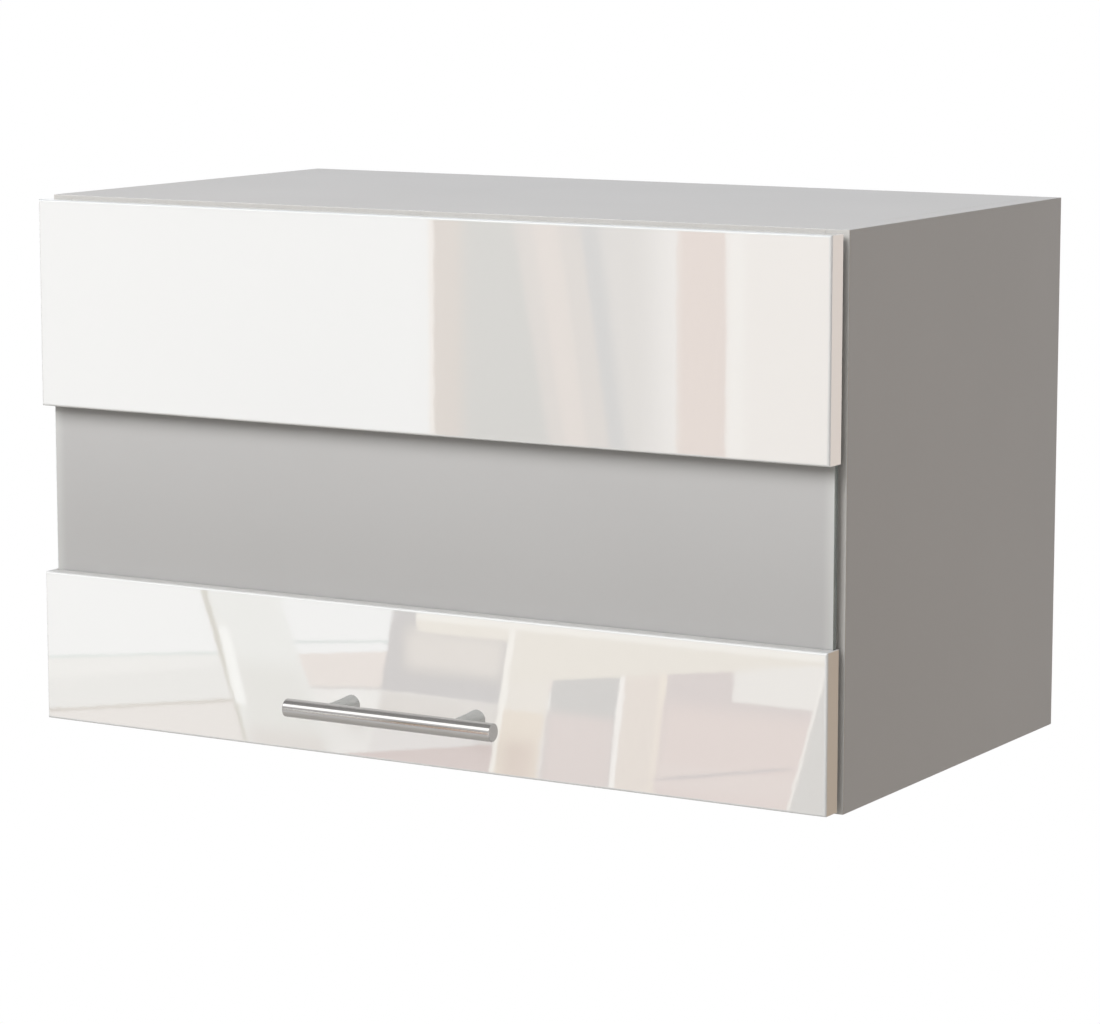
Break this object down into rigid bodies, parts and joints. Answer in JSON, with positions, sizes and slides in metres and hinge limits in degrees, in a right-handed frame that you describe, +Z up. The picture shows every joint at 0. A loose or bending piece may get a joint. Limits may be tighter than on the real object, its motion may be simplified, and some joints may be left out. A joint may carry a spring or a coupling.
{
  "type": "lift up wall cabinet",
  "caption": "Wall cabinet with a lift up door of gloss boards and a satin glass strip, bar handle, cup hinges and folding friction stays.",
  "frame": {"origin": "on the wall plane, at the middle of the carcass's bottom edge", "axes": "+X to the right as seen from the room, +Y into the wall, +Z up"},
  "size_m": [0.6, 0.376, 0.36],
  "materials": {
    "carcass_board": "light grey melamine faced particle board, matt",
    "back_board": "white faced hardboard",
    "edge_band": "light grey plastic edge band",
    "gloss_front": "high gloss white lacquered MDF",
    "satin_glass": "satin etched safety glass",
    "handle_steel": "brushed stainless steel",
    "plated_steel": "nickel plated pressed steel",
    "dull_zinc": "bare zinc casting",
    "beech": "fluted beech",
    "white_plastic": "moulded white plastic",
    "grey_plastic": "moulded grey plastic",
    "clear_rubber": "soft translucent plastic"
  },
  "bodies": {
    "carcass": {"left_side": "carcass_board", "right_side": "carcass_board", "top_panel": "carcass_board", "bottom_panel": "carcass_board", "back_panel": "back_board", "side_edge_bands": "edge_band", "deck_edge_bands": "edge_band", "dowels": "beech", "cam_locks": "dull_zinc", "cam_bolts": "plated_steel", "cam_caps": "white_plastic", "left_hanger_housing": "white_plastic", "right_hanger_housing": "white_plastic", "left_hanger_hook": "plated_steel", "right_hanger_hook": "plated_steel", "hanger_covers": "white_plastic", "hanger_adjusters": "plated_steel", "hanger_screws": "plated_steel", "left_wall_plate": "plated_steel", "right_wall_plate": "plated_steel", "left_hinge_plate": "plated_steel", "right_hinge_plate": "plated_steel", "left_hinge_arm": "plated_steel", "right_hinge_arm": "plated_steel", "hinge_plate_screws": "plated_steel", "hinge_arm_screws": "plated_steel", "left_stay_base": "dull_zinc", "right_stay_base": "dull_zinc", "stay_covers": "grey_plastic", "stay_base_screws": "plated_steel", "stay_pivots": "plated_steel", "friction_washers": "grey_plastic"},
    "door": {"upper_front": "gloss_front", "lower_front": "gloss_front", "glass_strip": "satin_glass", "glazing_seals": "clear_rubber", "glass_clips": "plated_steel", "glass_clip_screws": "plated_steel", "door_bumpers": "clear_rubber", "handle_bar": "handle_steel", "handle_posts": "handle_steel", "handle_screws": "plated_steel", "left_hinge_cup": "plated_steel", "right_hinge_cup": "plated_steel", "hinge_pins": "dull_zinc", "hinge_cup_screws": "plated_steel", "left_door_bracket": "plated_steel", "right_door_bracket": "plated_steel", "bracket_pins": "dull_zinc", "bracket_screws": "plated_steel"},
    "left_lever": {"left_stay_lever": "plated_steel", "left_knee_pin": "dull_zinc"},
    "right_lever": {"right_stay_lever": "plated_steel", "right_knee_pin": "dull_zinc"},
    "left_link": {"left_stay_link": "plated_steel"},
    "right_link": {"right_stay_link": "plated_steel"}
  },
  "joints": [
    {"name": "flap", "type": "hinge", "parent": "carcass", "child": "door", "pos_m": [0, -0.332, 0.35], "axis": [-1, 0, 0], "range_deg": [0, 90]},
    {"name": "left_lever_turn", "type": "hinge", "parent": "carcass", "child": "left_lever", "pos_m": [-0.2689, -0.237, 0.29], "axis": [-1, 0, 0], "range_deg": [0, 90]},
    {"name": "left_link_turn", "type": "hinge", "parent": "left_lever", "child": "left_link", "pos_m": [-0.2654, -0.215, 0.2], "axis": [-1, 0, 0], "range_deg": [-90, 0]},
    {"name": "right_lever_turn", "type": "hinge", "parent": "carcass", "child": "right_lever", "pos_m": [0.2689, -0.237, 0.29], "axis": [-1, 0, 0], "range_deg": [0, 90]},
    {"name": "right_link_turn", "type": "hinge", "parent": "right_lever", "child": "right_link", "pos_m": [0.2654, -0.215, 0.2], "axis": [-1, 0, 0], "range_deg": [-90, 0]}
  ],
  "couplings": [
    {"joint": "left_lever_turn", "follows": "flap", "ratio": 1},
    {"joint": "left_link_turn", "follows": "flap", "ratio": -1},
    {"joint": "right_lever_turn", "follows": "flap", "ratio": 1},
    {"joint": "right_link_turn", "follows": "flap", "ratio": -1}
  ]
}
